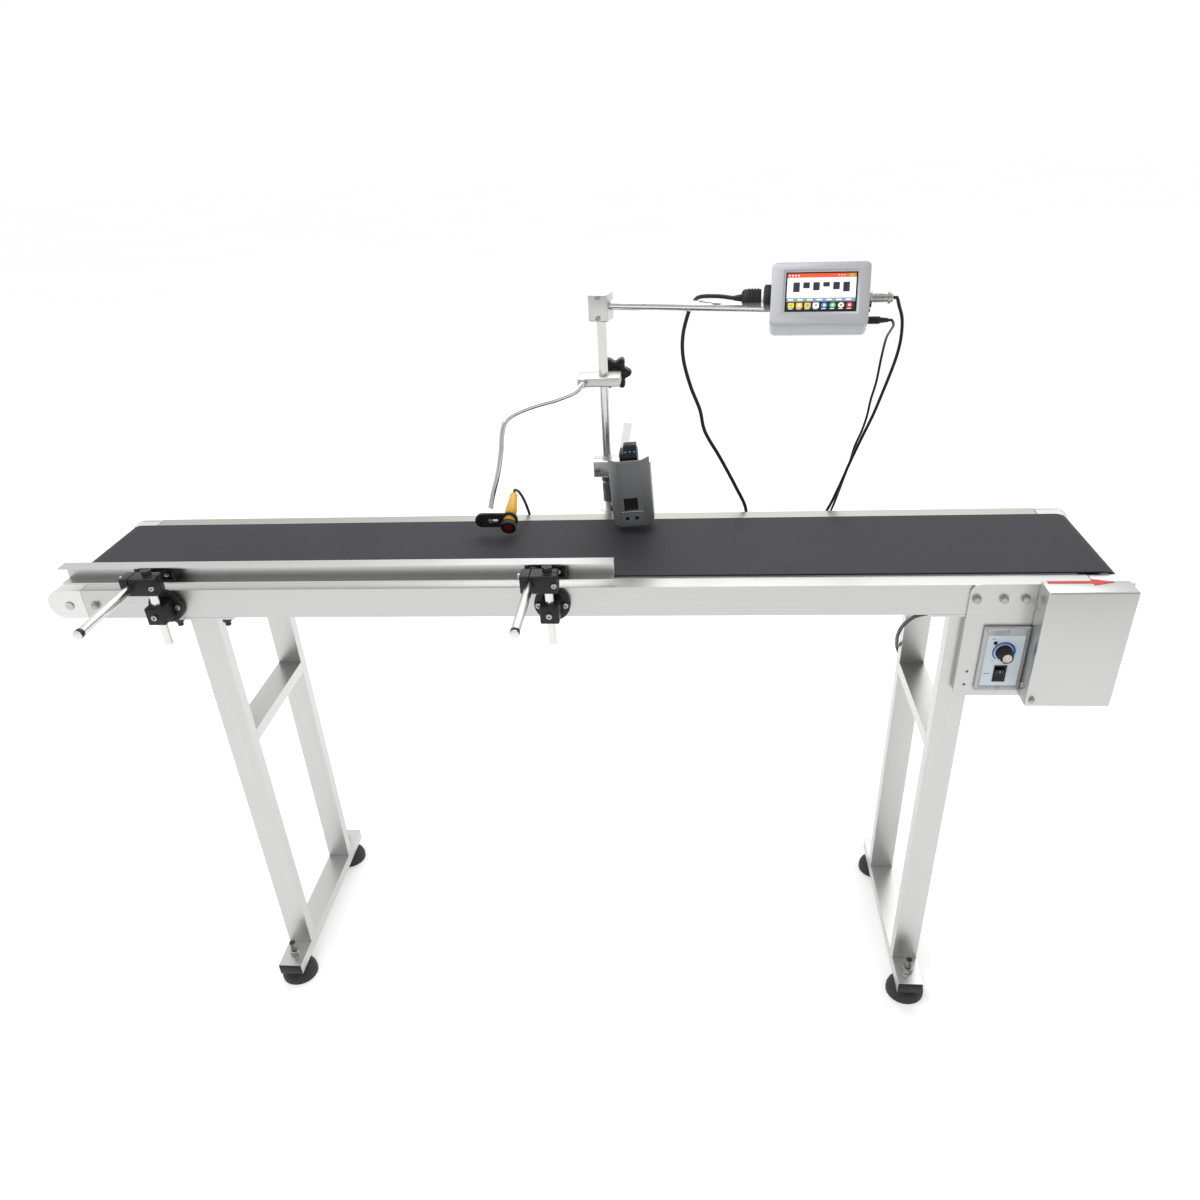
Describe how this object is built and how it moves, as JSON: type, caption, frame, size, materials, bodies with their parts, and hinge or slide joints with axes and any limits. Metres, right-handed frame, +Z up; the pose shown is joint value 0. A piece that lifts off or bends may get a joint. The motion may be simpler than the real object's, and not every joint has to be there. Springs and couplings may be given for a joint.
{
  "type": "belt conveyor with coding head",
  "caption": "Narrow bench belt conveyor on a stainless stand, with a side guide and a mast that carries a coding head, its touch screen controller and a product sensor",
  "frame": {"origin": "floor level, under the middle of the bounding box", "axes": "x along the belt towards the drive end, y across the belt away from the operator side, z up"},
  "size_m": [1.5, 0.654, 1.1331],
  "materials": {
    "stainless": "brushed along the length",
    "bright_stainless": "bright ground",
    "zinc": "zinc plated, satin",
    "aluminium": "anodised, satin",
    "belt_fabric": "matt, fine textured",
    "foot_rubber": "matt",
    "motor_paint": "satin",
    "panel_front": "smooth printed film in a grey bezel",
    "black_plastic": "fine grained",
    "cord_rubber": "satin",
    "controller_paint": "fine textured satin",
    "head_paint": "fine textured satin",
    "chrome": "polished",
    "sensor_yellow": "smooth"
  },
  "bodies": {
    "frame": {"side_frame_front": "stainless", "side_frame_rear": "stainless", "slider_bed": "stainless", "belt": "belt_fabric", "nose_tail_front": "bright_stainless", "nose_tail_rear": "bright_stainless", "nose_drive_front": "bright_stainless", "nose_drive_rear": "bright_stainless", "leg_tail_front": "stainless", "leg_tail_rear": "stainless", "leg_drive_front": "stainless", "leg_drive_rear": "stainless", "leg_brace_tail": "stainless", "leg_brace_drive": "stainless", "foot_bar_tail": "stainless", "foot_bar_drive": "stainless", "drive_plate": "stainless", "drive_cover": "stainless", "gearmotor": "motor_paint", "drive_chain": "zinc", "speed_panel": "panel_front", "guide_base_tail": "black_plastic", "guide_base_middle": "black_plastic", "mast_base": "aluminium", "mains_lead": "cord_rubber", "mains_hank": "cord_rubber", "mains_plug": "cord_rubber"},
    "drive_roller": {"drive_roller": "zinc"},
    "tail_roller": {"tail_roller": "zinc"},
    "motor_sprocket": {"motor_sprocket": "zinc"},
    "speed_knob": {"speed_knob": "black_plastic"},
    "rocker_switch": {"rocker_switch": "black_plastic"},
    "guide_height": {"guide_post_tail": "bright_stainless", "guide_post_middle": "bright_stainless", "guide_clamp_tail": "black_plastic", "guide_clamp_middle": "black_plastic"},
    "guide_reach": {"guide_arm_tail": "bright_stainless", "guide_arm_middle": "bright_stainless", "guide_rail": "stainless"},
    "mast": {"mast_post": "bright_stainless", "mast_corner_clamp": "aluminium", "mast_arm": "bright_stainless", "controller_housing": "controller_paint", "printhead_clamp": "aluminium", "printhead_cable": "cord_rubber", "dc_lead": "cord_rubber", "power_adapter": "black_plastic"},
    "printhead": {"printhead_rod": "bright_stainless", "printhead_shell": "head_paint", "ink_cartridge": "black_plastic"},
    "sensor": {"sensor_clamp": "aluminium", "gooseneck": "chrome", "sensor_bracket": "black_plastic", "photocell": "sensor_yellow", "photocell_cable": "cord_rubber"},
    "star_knob": {"star_knob": "black_plastic"},
    "foot_tail_front": {"levelling_foot_tail_front": "foot_rubber"},
    "foot_tail_rear": {"levelling_foot_tail_rear": "foot_rubber"},
    "foot_drive_front": {"levelling_foot_drive_front": "foot_rubber"},
    "foot_drive_rear": {"levelling_foot_drive_rear": "foot_rubber"}
  },
  "joints": [
    {"name": "drive_roller_spin", "type": "hinge", "parent": "frame", "child": "drive_roller", "pos_m": [0.718, -0.023, 0.7382], "axis": [0, 1, 0], "continuous": true},
    {"name": "tail_roller_spin", "type": "hinge", "parent": "frame", "child": "tail_roller", "pos_m": [-0.718, -0.023, 0.7382], "axis": [0, 1, 0], "continuous": true},
    {"name": "motor_sprocket_spin", "type": "hinge", "parent": "frame", "child": "motor_sprocket", "pos_m": [0.69, -0.023, 0.645], "axis": [0, 1, 0], "continuous": true},
    {"name": "speed_knob_turn", "type": "hinge", "parent": "frame", "child": "speed_knob", "pos_m": [0.5957, -0.163, 0.665], "axis": [0, 1, 0], "range_deg": [0, 270]},
    {"name": "rocker_tilt", "type": "hinge", "parent": "frame", "child": "rocker_switch", "pos_m": [0.5957, -0.159, 0.631], "axis": [-1, 0, 0], "range_deg": [0, 24]},
    {"name": "guide_height", "type": "slide", "parent": "frame", "child": "guide_height", "axis": [0, 0, 1], "range_m": [-0.006, 0.03]},
    {"name": "guide_reach", "type": "slide", "parent": "guide_height", "child": "guide_reach", "axis": [0, 1, 0], "range_m": [0, 0.09]},
    {"name": "mast_height", "type": "slide", "parent": "frame", "child": "mast", "axis": [0, 0, 1], "range_m": [-0.005, 0.06]},
    {"name": "printhead_reach", "type": "slide", "parent": "mast", "child": "printhead", "axis": [0, 1, 0], "range_m": [-0.03, 0]},
    {"name": "sensor_height", "type": "slide", "parent": "mast", "child": "sensor", "axis": [0, 0, 1], "range_m": [0, 0.05]},
    {"name": "star_knob_turn", "type": "hinge", "parent": "sensor", "child": "star_knob", "pos_m": [0.06, 0.146, 0.96875], "axis": [0, 1, 0], "range_deg": [-90, 90]},
    {"name": "foot_tail_front_height", "type": "slide", "parent": "frame", "child": "foot_tail_front", "axis": [0, 0, 1], "range_m": [-0.018, 0.004]},
    {"name": "foot_tail_rear_height", "type": "slide", "parent": "frame", "child": "foot_tail_rear", "axis": [0, 0, 1], "range_m": [-0.018, 0.004]},
    {"name": "foot_drive_front_height", "type": "slide", "parent": "frame", "child": "foot_drive_front", "axis": [0, 0, 1], "range_m": [-0.018, 0.004]},
    {"name": "foot_drive_rear_height", "type": "slide", "parent": "frame", "child": "foot_drive_rear", "axis": [0, 0, 1], "range_m": [-0.018, 0.004]}
  ],
  "couplings": [
    {"joint": "tail_roller_spin", "follows": "drive_roller_spin", "ratio": 1},
    {"joint": "motor_sprocket_spin", "follows": "drive_roller_spin", "ratio": 0.66667}
  ]
}
